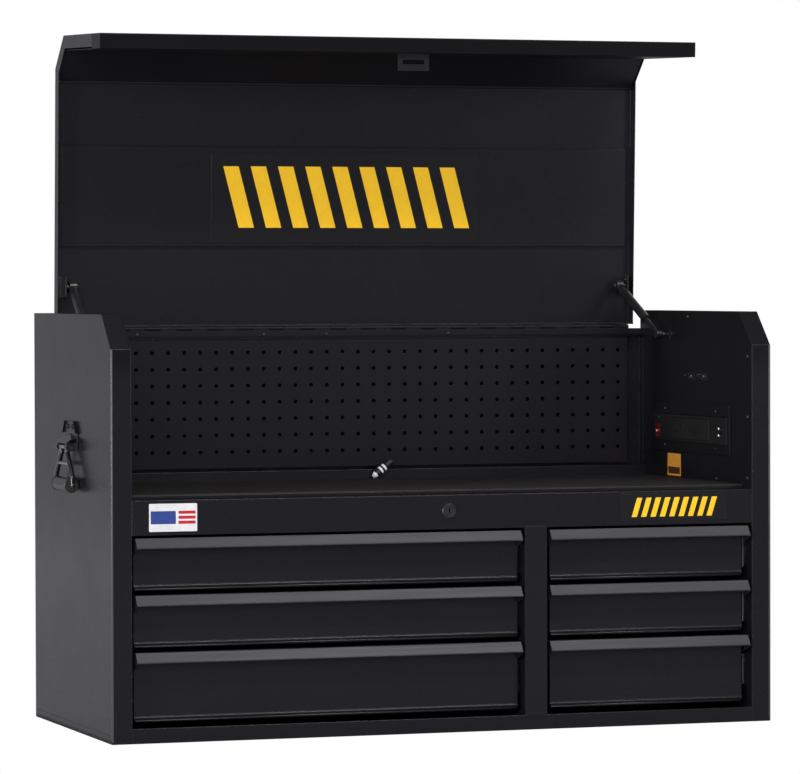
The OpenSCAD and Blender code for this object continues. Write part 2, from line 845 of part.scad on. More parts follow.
// Box channel that stiffens the lid's front edge, with closed ends
module lid_front_channel() {
  y0 = lid_front + sheet;
  y1 = lid_front + channel_d;
  z1 = lid_low + channel_h;
  color(cabinet_grey) lid_at_rest() {
    block([-lid_half + sheet, y0, lid_low], [lid_half - sheet, y1, lid_low + sheet]);
    block([-lid_half + sheet, y1 - sheet, lid_low], [lid_half - sheet, y1, z1]);
    block([-lid_half + sheet, y0, z1 - sheet], [lid_half - sheet, y1, z1]);
    for (x = [-lid_half, lid_half - sheet]) block([x, y0, lid_low], [x + sheet, y1, z1]);
  }
}

// Shallow pan under the lid's main panel
module lid_stiffener() {
  y1 = stiffener_front + stiffener_d;
  color(cabinet_grey) lid_at_rest() difference() {
    block([-stiffener_half, stiffener_front, under_lid - stiffener_h], [stiffener_half, y1, under_lid]);
    block([-stiffener_half + sheet, stiffener_front + sheet, under_lid - stiffener_h + sheet],
          [stiffener_half - sheet, y1 - sheet, under_lid + 1]);
  }
}

// Striker: a leg on the channel and a slotted plate that the hook comes up through
module lid_striker() {
  y0 = lid_front + channel_d;
  x_mid = slot_len / 2;
  half = slot_len / 2 + 8;
  color(trim_grey) lid_at_rest() difference() {
    union() {
      block([x_mid - half, y0, striker_z], [x_mid + half, y0 + striker_t, striker_z + 27]);
      block([x_mid - half, y0, striker_z], [x_mid + half, hook_y + slot_w + 10, striker_z + striker_t]);
    }
    block([x_mid - slot_len / 2, hook_y, striker_z - 1],
          [x_mid + slot_len / 2, hook_y + slot_w, striker_z + striker_t + 1]);
  }
}

// Bracket under the lid with the strut's pin
module strut_bracket() {
  plate_x = strut_x + bracket_gap;
  y0 = strut_y - bracket_half;
  y1 = strut_y + bracket_half;
  rivet_y = bracket_half * 0.62;
  color(plastic_black) {
    block([plate_x, y0, under_lid - bracket_t], [lid_half - sheet, y1, under_lid]);
    block([plate_x, y0, strut_z - 10], [plate_x + bracket_t, y1, under_lid]);
    bar_x(strut_x - 7, plate_x, strut_y, strut_z, strut_pin_r);
    translate([strut_x - 7, strut_y, strut_z]) rotate([0, -90, 0])
      rotate_extrude($fn = 32) polygon([[0, 0], [5.2, 0], [5.2, 0.8], [3.4, 2.2], [0, 2.8]]);
    for (y = [strut_y - rivet_y, strut_y + rivet_y])
      translate([plate_x, y, strut_z]) rotate([0, -90, 0]) rivet_head(2.6);
  }
}

module strut_brackets() {
  lid_at_rest() both_sides() strut_bracket();
}

// A low domed head
module rivet_head(r) {
  rotate_extrude($fn = 24) polygon([
    [0, 0], [r, 0], [r * 0.94, r * 0.28], [r * 0.72, r * 0.5], [r * 0.38, r * 0.62], [0, r * 0.66]
  ]);
}

// Cylinder of a gas strut: socket round the bracket's pin, tube and end gland
module strut_cylinder() {
  a = [strut_x, strut_pin_y, strut_pin_z];
  color(plastic_black) difference() {
    union() {
      bar_x(strut_x - 6, strut_x + 5.5, a[1], a[2], 9);
      bar_between(a + strut_dir * 5, a + strut_dir * 20, tube_r - 1);
      bar_between(a + strut_dir * 16, a + strut_dir * tube_len, tube_r);
    }
    bar_x(strut_x - 7, strut_x + 7, a[1], a[2], strut_pin_r + pin_clear);
    bar_between(a + strut_dir * 14, a + strut_dir * (tube_len + 1), rod_r + pin_clear);
  }
}

// Rod of a gas strut with the end fitting that faces the wall stud's ball
module strut_rod() {
  a = [strut_x, strut_pin_y, strut_pin_z];
  e = [rod_end_x, stud_y, stud_z];
  color(plastic_black) {
    bar_between(a + strut_dir * (tube_len - rod_in), e, rod_r);
    bar_x(rod_end_x - rod_end_half, rod_end_x + rod_end_half, stud_y, stud_z, rod_end_r);
  }
}

module strut_cylinder_left() {
  mirror([1, 0, 0]) strut_cylinder();
}

module strut_cylinder_right() {
  strut_cylinder();
}

module strut_rod_left() {
  mirror([1, 0, 0]) strut_rod();
}

module strut_rod_right() {
  strut_rod();
}

// Ball studs on the side walls: flange, neck and ball, turned in one piece
module strut_studs() {
  flange_r = 8;
  flange_t = 2;
  neck_share = 0.6;
  neck_turn = asin(neck_share);
  ball_steps = 8;
  ball_mid = stud_reach - stud_ball_r;
  neck_r = stud_ball_r * neck_share;
  color(plastic_black) for (s = [-1, 1])
    translate([s * inner, stud_y, stud_z]) rotate([0, -s * 90, 0]) rotate_extrude($fn = 32)
      polygon(concat(
        [[0, 0], [flange_r, 0], [flange_r, flange_t], [neck_r, flange_t]],
        [for (i = [0 : ball_steps]) let (a = (180 - neck_turn) * (1 - i / ball_steps))
          [stud_ball_r * sin(a), ball_mid + stud_ball_r * cos(a)]]
      ));
}

// Lock: face ring, barrel through the header and a square washer plate behind
module lock_housing() {
  bore = lock_plug_r + lock_clear;
  color(bright) difference() {
    union() {
      translate([0, front, lock_z]) rotate([90, 0, 0]) rotate_extrude($fn = 48)
        polygon([[0, 0], [lock_ring_r, 0], [lock_ring_r, 1.2], [lock_ring_r - 1.6, 2.6], [0, 2.6]]);
      bar_y(0, front, front + 30, lock_z, lock_ring_r - 2 - fit / 2, 40);
      bar_y(0, front + sheet, front + sheet + 3, lock_z, lock_ring_r + 2, 6);
    }
    bar_y(0, front - 4, front + 31, lock_z, bore, 40);
  }
}

// Turning cylinder with keyway, spindle and the hook that catches the striker
module lock_cylinder() {
  arm_w = 10;
  color(bright) translate([0, 0, lock_z]) {
    difference() {
      bar_y(0, front - 2.2, hook_y + 1, 0, lock_plug_r, 40);
      block([-0.9, front - 3, -4], [0.9, front + 14, 4]);
    }
    along_y(hook_y + 1, hook_y + 1 + hook_t) {
      circle(r = lock_plug_r + 2, $fn = 40);
      translate([0, -arm_w / 2]) square([hook_out - 1.5, arm_w]);
      difference() {
        circle(r = hook_out, $fn = 96);
        circle(r = hook_in, $fn = 96);
        rotate(180) translate([-2 * hook_out, 0]) square([4 * hook_out, 2 * hook_out]);
        rotate(30) translate([-2 * hook_out, 0]) square([4 * hook_out, 2 * hook_out]);
      }
    }
  }
}

// Cover plate round the power strip, folded back to the wall
module power_cover() {
  y0 = strip_y - cover_border;
  y1 = strip_back + cover_border;
  z0 = strip_z - 2 * cover_border;
  z1 = strip_z + strip_h + 2.4 * cover_border;
  color(cabinet_grey) difference() {
    block([inner - cover_t, y0, z0], [inner, y1, z1]);
    block([inner - cover_t + sheet, y0 + sheet, z0 + sheet], [inner + 1, y1 - sheet, z1 - sheet]);
    block([inner - cover_t - 1, strip_y - fit, strip_z - fit],
          [inner, strip_back + fit, strip_z + strip_h + fit]);
  }
}

// Strip housing with pockets for the outlets, the ports and the switch
module power_case() {
  color(plastic_black) difference() {
    block([strip_x, strip_y, strip_z], [inner + strip_d, strip_back, strip_z + strip_h]);
    block([strip_x - 1, outlet_y - outlets * outlet_pitch / 2 - fit, strip_z + 5 - fit],
          [strip_x + 12, outlet_y + outlets * outlet_pitch / 2 + fit, strip_z + strip_h - 5 + fit]);
    for (z = [strip_z + 12, strip_z + 22])
      block([strip_x - 1, usb_y - 7, z], [strip_x + 10, usb_y + 7, z + 6]);
    block([strip_x - 1, rocker_y - 7.5, rocker_z - 12], [strip_x + 16, rocker_y + 7.5, rocker_z + 12]);
  }
  color(bright) translate([strip_x, rocker_y - 5, strip_z + strip_h - 6]) rotate([0, -90, 0])
    rivet_head(3);
}

// Outlet faces with blade slots and a ground hole each, and the tongues of the ports
module outlet_block() {
  half = outlets * outlet_pitch / 2;
  color(trim_grey) {
    difference() {
      block([strip_x - 0.6, outlet_y - half, strip_z + 5], [strip_x + 12, outlet_y + half, strip_z + strip_h - 5]);
      for (i = [0 : outlets - 1]) {
        y = outlet_y + (i - (outlets - 1) / 2) * outlet_pitch;
        z = strip_z + strip_h / 2;
        for (s = [-1, 1])
          block([strip_x - 1, y + s * 6.3 - 1, z - 1], [strip_x + 9, y + s * 6.3 + 1, z + 8]);
        bar_x(strip_x - 1, strip_x + 9, y, z - 7, 2.6, 24);
      }
    }
  }
  color("white") for (z = [strip_z + 12, strip_z + 22])
    block([strip_x + 1, usb_y - 5.5, z + 1.2], [strip_x + 10, usb_y + 5.5, z + 3]);
}

// Rocker: two faces that meet at a shallow angle, turning on a pin inside the case
module rocker_switch() {
  color("red") translate([strip_x + 7, rocker_y, rocker_z]) rotate([0, -8, 0])
    along_y(-7, 7) {
      polygon([[-7.6, -10.6], [-6.6, 0], [-7.6, 10.6], [-1, 10.6], [2, 4], [2, -4], [-1, -10.6]]);
      circle(r = 4.5, $fn = 32);
    }
}

// Handle plate on a side wall: slanting rims, two eyes and a hood over the bail's bar
module handle_plate() {
  x = half_w;
  hood_out = axis_x - x + hood_over;
  hood_edge = 1.5;
  hood_side = 12;
  rim_run = [
    [plate_crown, plate_top],
    [plate_half, plate_shoulder],
    [plate_half - plate_t, plate_shoulder],
    [plate_crown - plate_t, plate_top]
  ];
  color(plastic_black) translate([0, handle_y, handle_z]) {
    difference() {
      union() {
        along_x(x, x + plate_t) polygon([
          [-plate_crown, plate_top], [plate_crown, plate_top], [plate_half, plate_shoulder],
          [plate_half, -plate_foot], [-plate_half, -plate_foot], [-plate_half, plate_shoulder]
        ]);
        for (s = [-1, 1]) {
          y0 = min(s * eye_y, s * (eye_y + eye_len));
          along_x(x, x + plate_rim) polygon([for (p = rim_run) [s * p[0], p[1]]]);
          bar_y(axis_x, y0, y0 + eye_len, 0, eye_r);
          block([x, y0, -eye_r], [axis_x, y0 + eye_len, eye_r]);
        }
        intersection() {
          along_y(-plate_half, plate_half) polygon([
            [x, hood_top], [x + hood_out, hood_low + hood_edge],
            [x + hood_out, hood_low], [x, hood_low]
          ]);
          along_x(x, x + hood_out + 1) polygon([
            [0, hood_top - hood_edge], [hood_half, hood_side],
            [hood_lip, hood_low - 1], [-hood_lip, hood_low - 1], [-hood_half, hood_side]
          ]);
        }
      }
      bar_y(axis_x, -eye_y - eye_len - 1, eye_y + eye_len + 1, 0, bail_r + bail_clear);
    }
    for (s = [-1, 1])
      translate([x + plate_t, s * bolt_half, bolt_up]) rotate([0, 90, 0]) rivet_head(4);
  }
}

module handle_plates() {
  both_sides() handle_plate();
}

// Bail: bar in the eyes, two arms that spread downwards, a brace, and the rod through the grip
module bail() {
  x = axis_x;
  elbow_z = bail_rise - grip_drop;
  end_y = eye_y + eye_len - 1;
  color(plastic_black) translate([0, handle_y, handle_z]) {
    bar_between([x, -end_y, 0], [x, end_y, 0], bail_r);
    bar_between([x, -brace_y, -brace_drop], [x, brace_y, -brace_drop], brace_r);
    bar_between([x, -bail_foot, -grip_drop], [x, bail_foot, -grip_drop], bail_r);
    for (s = [-1, 1]) {
      bar_between([x, s * bail_top, 0], [x, s * bail_top, -bail_neck], bail_r);
      bar_between([x, s * bail_top, -bail_neck], [x, s * bail_foot, elbow_z], bail_r);
      bar_between([x, s * bail_foot, elbow_z], [x, s * bail_foot, -grip_drop], bail_r);
      translate([x, s * bail_top, 0]) sphere(r = bend_r, $fn = 32);
      translate([x, s * bail_top, -bail_neck]) sphere(r = bend_r, $fn = 32);
      translate([x, s * bail_foot, elbow_z]) sphere(r = bend_r, $fn = 32);
      translate([x, s * bail_foot, -grip_drop]) sphere(r = bend_r, $fn = 32);
    }
  }
}

// Grip: a smooth moulded sleeve with a collar at each end
module grip() {
  half = bail_foot - bend_r - 1;
  collar = 6;
  waist = grip_r - 0.8;
  color(plastic_black) translate([axis_x, handle_y, handle_z - grip_drop]) rotate([90, 0, 0])
    rotate_extrude($fn = 48) polygon([
      [bail_r + bail_clear, -half], [grip_r - 1, -half], [grip_r, 1 - half], [grip_r, collar - half],
      [waist, collar + 1 - half], [waist, half - collar - 1], [grip_r, half - collar], [grip_r, half - 1],
      [grip_r - 1, half], [bail_r + bail_clear, half]
    ]);
}

module bail_left() {
  mirror([1, 0, 0]) bail();
}

module bail_right() {
  bail();
}

module grip_left() {
  mirror([1, 0, 0]) grip();
}

module grip_right() {
  grip();
}

// Screw heads on the side walls and rivets on the hinge rail
module fasteners() {
  post_y = front + screw_in;
  post_z = body_h - slope - screw_down;
  wall_screws = [
    [front + top_screw_y, body_h - 9.6],
    [post_y, post_z],
    [post_y, post_z - screw_gap],
    [post_y, header_top + screw_in],
    [front + low_screw_y, tray_z + 6]
  ];
  color(plastic_black) {
    for (s = [-1, 1], p = wall_screws)
      translate([s * inner, p[0], p[1]]) rotate([0, -s * 90, 0]) rivet_head(3.6);
    for (x = rail_rivets)
      translate([x, peg_y, rail_z + hinge_rail_h / 2]) rotate([90, 0, 0]) rivet_head(2.6);
    for (y = [strip_y + cover_screw_front, strip_back - cover_screw_back],
         z = [strip_z - cover_screw_low, strip_z + strip_h + cover_screw_high])
      translate([inner - cover_t, y, z]) rotate([0, -90, 0]) rivet_head(3);
  }
}

// Ribbed strain-relief boot that leans at the back of the till floor
module cord_boot() {
  color(plastic_black) translate([21, peg_y - sheet - 6.4, mat_z + 2.2]) rotate([0, 52, 0])
    rotate_extrude($fn = 32) polygon([
      [0, 0], [2.6, 0], [5.8, 10], [5.8, 13], [5.2, 13.5], [5.2, 15], [6, 15.5], [6, 19.5],
      [5.2, 20], [5.2, 22], [6, 22.5], [6, 26.5], [5.2, 27], [5.2, 28.5], [6, 29], [6, 38],
      [4.6, 41], [2, 42.5], [0, 42.8]
    ]);
}

// Two clips that hold the strip's lead against the right wall
module cord_clips() {
  clip_z = strip_z + strip_h + clip_up;
  color(bright) for (y = [clip_back - clip_gap, clip_back]) {
    block([inner - 1.2, y, clip_z - 5], [inner, y + 16, clip_z + 5]);
    translate([0, 0, clip_z]) difference() {
      bar_y(inner - 4, y + 16, y + 22, 0, 4, 24);
      bar_y(inner - 4, y + 15, y + 23, 0, 2.8, 24);
      block([inner, y + 15, -6], [inner + 2, y + 23, 6]);
    }
    translate([inner - 1.2, y + 6, clip_z]) rotate([0, -90, 0]) rivet_head(3);
  }
}

module drawer_1_box() { drawer_box(0, 0); }
module drawer_2_box() { drawer_box(0, 1); }
module drawer_3_box() { drawer_box(0, 2); }
module drawer_4_box() { drawer_box(1, 0); }
module drawer_5_box() { drawer_box(1, 1); }
module drawer_6_box() { drawer_box(1, 2); }

module drawer_1_pull() { drawer_pull(0, 0); }
module drawer_2_pull() { drawer_pull(0, 1); }
module drawer_3_pull() { drawer_pull(0, 2); }
module drawer_4_pull() { drawer_pull(1, 0); }
module drawer_5_pull() { drawer_pull(1, 1); }
module drawer_6_pull() { drawer_pull(1, 2); }

module drawer_1_mid_slides() { mid_slides(0, 0); }
module drawer_2_mid_slides() { mid_slides(0, 1); }
module drawer_3_mid_slides() { mid_slides(0, 2); }
module drawer_4_mid_slides() { mid_slides(1, 0); }
module drawer_5_mid_slides() { mid_slides(1, 1); }
module drawer_6_mid_slides() { mid_slides(1, 2); }

side_left();
side_right();
liner_left();
liner_right();
back_panel();
base_pan();
front_header();
bottom_rail();
center_divider();
hinge_rail();
pegboard();
till_tray();
till_mat();
hinge_leaf_fixed();
hinge_pin();
cabinet_slides();
lock_housing();
lock_cylinder();
power_cover();
power_case();
outlet_block();
rocker_switch();
strut_studs();
handle_plates();
fasteners();
cord_boot();
cord_clips();
bail_left();
bail_right();
grip_left();
grip_right();
lid_shell();
lid_front_channel();
lid_stiffener();
lid_hinge_leaf();
lid_striker();
strut_brackets();
strut_cylinder_left();
strut_cylinder_right();
strut_rod_left();
strut_rod_right();
drawer_1_box();
drawer_1_pull();
drawer_1_mid_slides();
drawer_2_box();
drawer_2_pull();
drawer_2_mid_slides();
drawer_3_box();
drawer_3_pull();
drawer_3_mid_slides();
drawer_4_box();
drawer_4_pull();
drawer_4_mid_slides();
drawer_5_box();
drawer_5_pull();
drawer_5_mid_slides();
drawer_6_box();
drawer_6_pull();
drawer_6_mid_slides();
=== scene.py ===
import bpy
import bmesh
import math
from mathutils import Matrix, Vector


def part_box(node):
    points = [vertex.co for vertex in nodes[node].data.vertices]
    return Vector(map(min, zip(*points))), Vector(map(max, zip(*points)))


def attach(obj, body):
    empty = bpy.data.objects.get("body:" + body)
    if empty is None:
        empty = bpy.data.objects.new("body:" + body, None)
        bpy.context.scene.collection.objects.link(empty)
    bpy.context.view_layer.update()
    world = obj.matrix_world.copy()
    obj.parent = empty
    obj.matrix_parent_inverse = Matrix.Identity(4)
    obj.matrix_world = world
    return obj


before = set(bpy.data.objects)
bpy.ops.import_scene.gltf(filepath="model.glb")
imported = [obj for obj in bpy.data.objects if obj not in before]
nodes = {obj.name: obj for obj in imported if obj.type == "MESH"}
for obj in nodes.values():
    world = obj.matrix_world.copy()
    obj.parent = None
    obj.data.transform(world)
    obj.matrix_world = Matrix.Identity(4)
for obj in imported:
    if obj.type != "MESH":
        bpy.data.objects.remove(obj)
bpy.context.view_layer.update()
scene = bpy.context.scene
scene.view_settings.view_transform = "Standard"

# Camera, solved from the photograph. The place is in metres and the angles are in degrees.
CAMERA_PLACE = (-2.18388, -6.44256, 0.67069)
CAMERA_BEARING = 18.73
CAMERA_FALL = 1.34
CAMERA_ROLL = -0.15
FOCAL_PIXELS = 4417.62
PHOTO_WIDTH_PIXELS = 800
SENSOR_WIDTH_MM = 36
VIEW_END = 60

# Faces that the prints lie on: the header's front, the right liner, and the shut lid's stiffener
HEADER_Y = -0.2286
RIGHT_WALL_X = 0.490
STIFFENER_Z = 0.6204

# Hinge of the lid, and its turn from shut, as its pieces are drawn here, to open, as it rests
HINGE_PIVOT = (0, 0.232, 0.6006)
LID_TURN = -88

# Part of a noise's values that a colour or roughness runs over
NOISE_LOW = 0.3
NOISE_HIGH = 0.7

# Sockets of a colour mix
MIX_FIRST = 6
MIX_SECOND = 7
MIX_RESULT = 2


# Camera
def make_camera():
    bearing = math.radians(CAMERA_BEARING)
    fall = math.radians(CAMERA_FALL)
    roll = math.radians(CAMERA_ROLL)
    ahead = Vector((
        math.sin(bearing) * math.cos(fall),
        math.cos(bearing) * math.cos(fall),
        -math.sin(fall),
    ))
    level_right = Vector((math.cos(bearing), -math.sin(bearing), 0))
    level_up = level_right.cross(ahead)
    right = level_right * math.cos(roll) + level_up * math.sin(roll)
    up = level_up * math.cos(roll) - level_right * math.sin(roll)
    data = bpy.data.cameras.new("camera")
    data.sensor_width = SENSOR_WIDTH_MM
    data.lens = FOCAL_PIXELS * SENSOR_WIDTH_MM / PHOTO_WIDTH_PIXELS
    data.clip_end = VIEW_END
    camera = bpy.data.objects.new("camera", data)
    scene.collection.objects.link(camera)
    turn = Matrix((right, up, -ahead)).transposed().to_4x4()
    camera.matrix_world = Matrix.Translation(CAMERA_PLACE) @ turn
    scene.camera = camera


make_camera()


# Material builder
class Shader:
    """A Principled material with a small tree of texture nodes."""

    def __init__(self, name, colour, rough, metal=0.0, level=0.5, coat=0.0, coat_rough=0.1):
        self.mat = bpy.data.materials.new(name)
        self.mat.use_nodes = True
        self.tree = self.mat.node_tree
        self.bsdf = self.tree.nodes["Principled BSDF"]
        self.bsdf.inputs["Base Color"].default_value = (*colour, 1)
        self.bsdf.inputs["Roughness"].default_value = rough
        self.bsdf.inputs["Metallic"].default_value = metal
        self.bsdf.inputs["Specular IOR Level"].default_value = level
        self.bsdf.inputs["Coat Weight"].default_value = coat
        self.bsdf.inputs["Coat Roughness"].default_value = coat_rough
        self.coords = self.node("ShaderNodeTexCoord").outputs["Object"]
        self.normal = None

    def node(self, kind, **settings):
        made = self.tree.nodes.new(kind)
        for key, value in settings.items():
            setattr(made, key, value)
        return made

    def link(self, source, target):
        self.tree.links.new(source, target)

    def noise(self, scale, detail, stretch=(1, 1, 1), rough=0.5):
        """A noise in object space, drawn out along the axes where stretch is small."""
        mapping = self.node("ShaderNodeMapping")
        mapping.inputs["Scale"].default_value = stretch
        noise = self.node("ShaderNodeTexNoise")
        noise.inputs["Scale"].default_value = scale
        noise.inputs["Detail"].default_value = detail
        noise.inputs["Roughness"].default_value = rough
        self.link(self.coords, mapping.inputs["Vector"])
        self.link(mapping.outputs["Vector"], noise.inputs["Vector"])
        return noise.outputs["Fac"]

    def paint_with(self, pigment):
        self.pigment = pigment
        self.link(pigment, self.bsdf.inputs["Base Color"])

    def tint(self, value, first, second):
        """The colour goes from the first to the second with the value."""
        ramp = self.node("ShaderNodeValToRGB")
        start, end = ramp.color_ramp.elements
        start.position = NOISE_LOW
        start.color = (*first, 1)
        end.position = NOISE_HIGH
        end.color = (*second, 1)
        self.link(value, ramp.inputs["Fac"])
        self.paint_with(ramp.outputs["Color"])

    def graded(self, axis, stops):
        """The colour is multiplied by a factor that changes along an axis, as (metres, factor)."""
        split = self.node("ShaderNodeSeparateXYZ")
        self.link(self.coords, split.inputs["Vector"])
        low, high = stops[0][0], stops[-1][0]
        place = self.node("ShaderNodeMapRange")
        place.inputs["From Min"].default_value = low
        place.inputs["From Max"].default_value = high
        self.link(split.outputs[axis], place.inputs["Value"])
        ramp = self.node("ShaderNodeValToRGB")
        line = ramp.color_ramp.elements
        while len(line) < len(stops):
            line.new(0.5)
        for point, (at, factor) in zip(line, stops):
            point.position = (at - low) / (high - low)
            point.color = (factor, factor, factor, 1)
        self.link(place.outputs["Result"], ramp.inputs["Fac"])
        mix = self.node("ShaderNodeMix", data_type="RGBA", blend_type="MULTIPLY")
        mix.inputs[0].default_value = 1.0
        self.link(self.pigment, mix.inputs[MIX_FIRST])
        self.link(ramp.outputs["Color"], mix.inputs[MIX_SECOND])
        self.paint_with(mix.outputs[MIX_RESULT])

    def roughen(self, value, low, high):
        """The roughness goes from low to high with the value."""
        spread = self.node("ShaderNodeMapRange")
        spread.inputs["From Min"].default_value = NOISE_LOW
        spread.inputs["From Max"].default_value = NOISE_HIGH
        spread.inputs["To Min"].default_value = low
        spread.inputs["To Max"].default_value = high
        self.link(value, spread.inputs["Value"])
        self.link(spread.outputs["Result"], self.bsdf.inputs["Roughness"])

    def shape_with(self, normal):
        self.normal = normal
        self.link(normal, self.bsdf.inputs["Normal"])

    def soft_edges(self, radius):
        bevel = self.node("ShaderNodeBevel", samples=6)
        bevel.inputs["Radius"].default_value = radius
        self.shape_with(bevel.outputs["Normal"])

    def bump(self, value, strength, distance):
        bump = self.node("ShaderNodeBump")
        bump.inputs["Strength"].default_value = strength
        bump.inputs["Distance"].default_value = distance
        self.link(value, bump.inputs["Height"])
        if self.normal is not None:
            self.link(self.normal, bump.inputs["Normal"])
        self.shape_with(bump.outputs["Normal"])

    def shine(self, colour, strength):
        """A light of its own, for lamps, and a painted glow on inks and inserts that are no lamps."""
        self.bsdf.inputs["Emission Color"].default_value = (*colour, 1)
        self.bsdf.inputs["Emission Strength"].default_value = strength


def paint(name, dark, light, rough, level, edge=0.0014):
    """Powder coat: two close shades, a slight orange peel and softened corners."""
    coat = Shader(name, dark, rough, level=level)
    coat.tint(coat.noise(5, 3), dark, light)
    coat.roughen(coat.noise(14, 4), rough - 0.012, rough + 0.018)
    coat.soft_edges(edge)
    coat.bump(coat.noise(620, 2), 0.03, 0.0003)
    return coat


# Materials of the solids, by slot. The first is the powder coat of every sheet with none of its own.
MATS = {}
MATS["body"] = paint("body_paint", (0.0088, 0.0083, 0.0113), (0.0093, 0.0088, 0.0119), 0.27, 0.28)

# Lid shell, with painted shade: much darker on the face that is on top while it stands open, and a little
# darker towards the hinge
skin = paint("lid_paint_painted_shade", (0.0102, 0.0096, 0.0128), (0.0108, 0.0102, 0.0135), 0.27, 0.24)
skin.graded(
    "Z", [(0.55, 0.95), (0.7, 1.05), (0.8, 1.05), (1.019, 1.05), (1.022, 0.28), (1.06, 0.28)],
)
MATS["lid_body"] = skin

# Sides, header and bottom rail, with painted shade that darkens the sides from their slope up
skin = paint("frame_paint_painted_shade", (0.0077, 0.0072, 0.01), (0.0082, 0.0077, 0.0106), 0.27, 0.26, 0.0022)
skin.graded("Z", [(0.0, 1.0), (0.53, 1.0), (0.56, 0.4), (0.63, 0.4)])
MATS["frame"] = skin

# Right liner, cover of the power strip and till tray
MATS["wall"] = paint("wall_paint", (0.0078, 0.0075, 0.0095), (0.0085, 0.0082, 0.0104), 0.34, 0.25)

# Hinge rail, with painted shade along its foot, where the groove under it lies in shadow
skin = paint("rail_paint_painted_shade", (0.0076, 0.0073, 0.0098), (0.0082, 0.0078, 0.0105), 0.34, 0.24, 0.0003)
skin.graded("Z", [(0.5, 0.15), (0.588, 0.15), (0.59, 1), (0.6, 1)])
MATS["rail"] = skin

# Pegboard, with painted shade along its top edge under the rail
skin = paint("peg_paint_painted_shade", (0.0088, 0.0083, 0.0113), (0.0093, 0.0088, 0.0119), 0.27, 0.28, 0.0004)
skin.graded("Z", [(0, 1), (0.5815, 1), (0.583, 0.25), (0.6, 0.25)])
MATS["peg"] = skin

# Front channel of the lid, in a darker coat that is painted shade
MATS["channel"] = paint("channel_paint_painted_shade", (0.0045, 0.0043, 0.0053), (0.005, 0.0048, 0.0059), 0.34, 0.1)

# Drawer pulls, satin, brushed along their length, with painted reflection that lightens and darkens them
# along each bank
skin = Shader("pull_satin_painted_sheen", (0.085, 0.085, 0.09), 0.36, metal=0.35, level=0.3)
skin.tint(skin.noise(60, 3, (0.06, 1, 1)), (0.078, 0.078, 0.084), (0.094, 0.094, 0.101))
skin.graded("X", [(-0.49, 0.32), (0.0, 0.31), (0.13, 0.32), (0.15, 0.25), (0.3, 0.29), (0.49, 0.37)])
skin.roughen(skin.noise(400, 3, (0.02, 1, 1)), 0.34, 0.44)
skin.soft_edges(0.0006)
skin.bump(skin.noise(1400, 2, (0.02, 1, 1)), 0.06, 0.0002)
MATS["pull"] = skin

# Till mat, paler towards the front as painted light and darker at the back as painted shade
skin = Shader("mat_rubber_painted_shade", (0.016, 0.0135, 0.0125), 0.55, level=0.45)
skin.tint(skin.noise(9, 4), (0.015, 0.0128, 0.0118), (0.02, 0.017, 0.0156))
skin.graded("Y", [(-0.2, 1.5), (-0.12, 1.1), (0.05, 0.8), (0.2, 0.7)])
skin.roughen(skin.noise(30, 4), 0.48, 0.66)
skin.soft_edges(0.0004)
skin.bump(skin.noise(1100, 3), 0.22, 0.0004)
MATS["mat"] = skin

# Hinge leaves
skin = Shader("hinge_steel", (0.008, 0.0078, 0.0095), 0.5, level=0.15)
skin.tint(skin.noise(40, 4), (0.0065, 0.0063, 0.0078), (0.0095, 0.0092, 0.0112))
skin.roughen(skin.noise(120, 4), 0.42, 0.55)
skin.soft_edges(0.0005)
MATS["hinge"] = skin

# Slides and the pin of the hinge
skin = Shader("zinc_plate", (0.52, 0.53, 0.55), 0.34, metal=0.95)
skin.tint(skin.noise(70, 5, rough=0.7), (0.42, 0.43, 0.46), (0.62, 0.62, 0.62))
skin.roughen(skin.noise(160, 4), 0.26, 0.44)
skin.soft_edges(0.0003)
MATS["zinc"] = skin

# Lock and cord clips
skin = Shader("lock_steel", (0.08, 0.08, 0.084), 0.2, metal=0.9)
skin.tint(skin.noise(90, 4), (0.066, 0.066, 0.069), (0.095, 0.095, 0.099))
skin.roughen(skin.noise(300, 3), 0.14, 0.28)
skin.soft_edges(0.0003)
MATS["lock_steel"] = skin

# Brackets and studs of the struts, screws and rivets
skin = Shader("black_steel", (0.014, 0.0138, 0.0155), 0.3, level=0.5)
skin.tint(skin.noise(120, 4), (0.011, 0.0108, 0.0122), (0.018, 0.0178, 0.0195))
skin.roughen(skin.noise(260, 3), 0.24, 0.38)
skin.soft_edges(0.0004)
MATS["black_steel"] = skin

# Case of the power strip
skin = Shader("strip_case", (0.011, 0.011, 0.012), 0.42, level=0.4)
skin.tint(skin.noise(20, 3), (0.009, 0.009, 0.01), (0.014, 0.014, 0.0152))
skin.soft_edges(0.0006)
skin.bump(skin.noise(2200, 2), 0.12, 0.0003)
MATS["strip_black"] = skin

# Outlets of the power strip
skin = Shader("strip_face", (0.016, 0.016, 0.0172), 0.36, level=0.45)
skin.tint(skin.noise(26, 3), (0.013, 0.013, 0.014), (0.019, 0.019, 0.0203))
skin.soft_edges(0.0005)
skin.bump(skin.noise(2400, 2), 0.1, 0.0003)
MATS["strip_grey"] = skin

# Rocker switch, lit from inside
skin = Shader("switch_red", (0.12, 0.005, 0.004), 0.16, level=0.5)
skin.tint(skin.noise(30, 2), (0.1, 0.004, 0.003), (0.15, 0.007, 0.005))
skin.shine((0.9, 0.03, 0.015), 0.015)
skin.soft_edges(0.0006)
MATS["switch_red"] = skin

# Cord boot
skin = Shader("boot_rubber", (0.013, 0.013, 0.014), 0.4, level=0.5)
skin.tint(skin.noise(60, 3), (0.01, 0.01, 0.011), (0.018, 0.018, 0.019))
skin.soft_edges(0.0005)
skin.bump(skin.noise(1500, 2), 0.15, 0.0003)
MATS["rubber"] = skin

# Bails of the side handles, glossy
skin = Shader("bail_rod", (0.012, 0.012, 0.013), 0.14, level=0.7, coat=0.5, coat_rough=0.06)
skin.tint(skin.noise(60, 3), (0.01, 0.01, 0.011), (0.016, 0.016, 0.0172))
skin.roughen(skin.noise(200, 3), 0.1, 0.2)
skin.soft_edges(0.0007)
MATS["bail"] = skin

